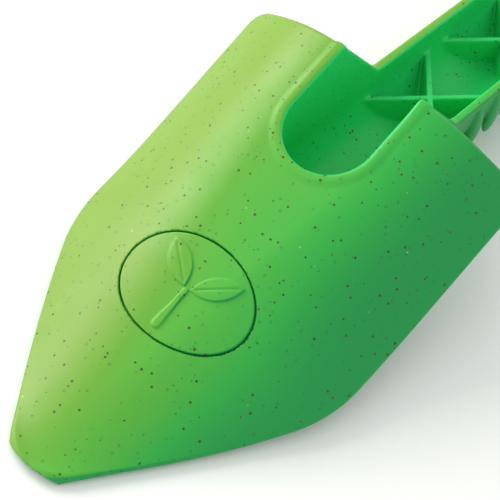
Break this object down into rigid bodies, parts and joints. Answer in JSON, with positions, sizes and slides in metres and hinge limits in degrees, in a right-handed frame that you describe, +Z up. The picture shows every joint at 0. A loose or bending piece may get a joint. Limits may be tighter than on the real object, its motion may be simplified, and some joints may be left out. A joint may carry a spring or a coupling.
{
  "type": "hand trowel",
  "caption": "Child's one-piece plastic hand trowel: dished pointed blade with a round-ended recess and an open, cross-ribbed channel handle.",
  "frame": {"origin": "centre of the bounding box, at the level of the surface the trowel lies on", "axes": "+X from the blade's tip towards the handle end, +Y to the left seen from the tip end looking along +X, +Z up, out of the blade's convex back"},
  "size_m": [0.2282, 0.0798, 0.0432],
  "materials": {
    "speckled_green": "satin moulded plastic, slightly translucent, with fine dark flecks"
  },
  "bodies": {
    "root": {"blade_shell": "speckled_green", "emblem_medallion": "speckled_green", "sprout_leaf_left": "speckled_green", "sprout_leaf_right": "speckled_green", "sprout_stem": "speckled_green", "neck_socket": "speckled_green", "handle_channel": "speckled_green", "handle_end": "speckled_green", "cross_brace_1": "speckled_green", "cross_brace_2": "speckled_green", "cross_brace_3": "speckled_green", "grip_ridge_left_1": "speckled_green", "grip_ridge_left_2": "speckled_green", "grip_ridge_left_3": "speckled_green", "grip_ridge_right_1": "speckled_green", "grip_ridge_right_2": "speckled_green", "grip_ridge_right_3": "speckled_green"}
  },
  "joints": []
}
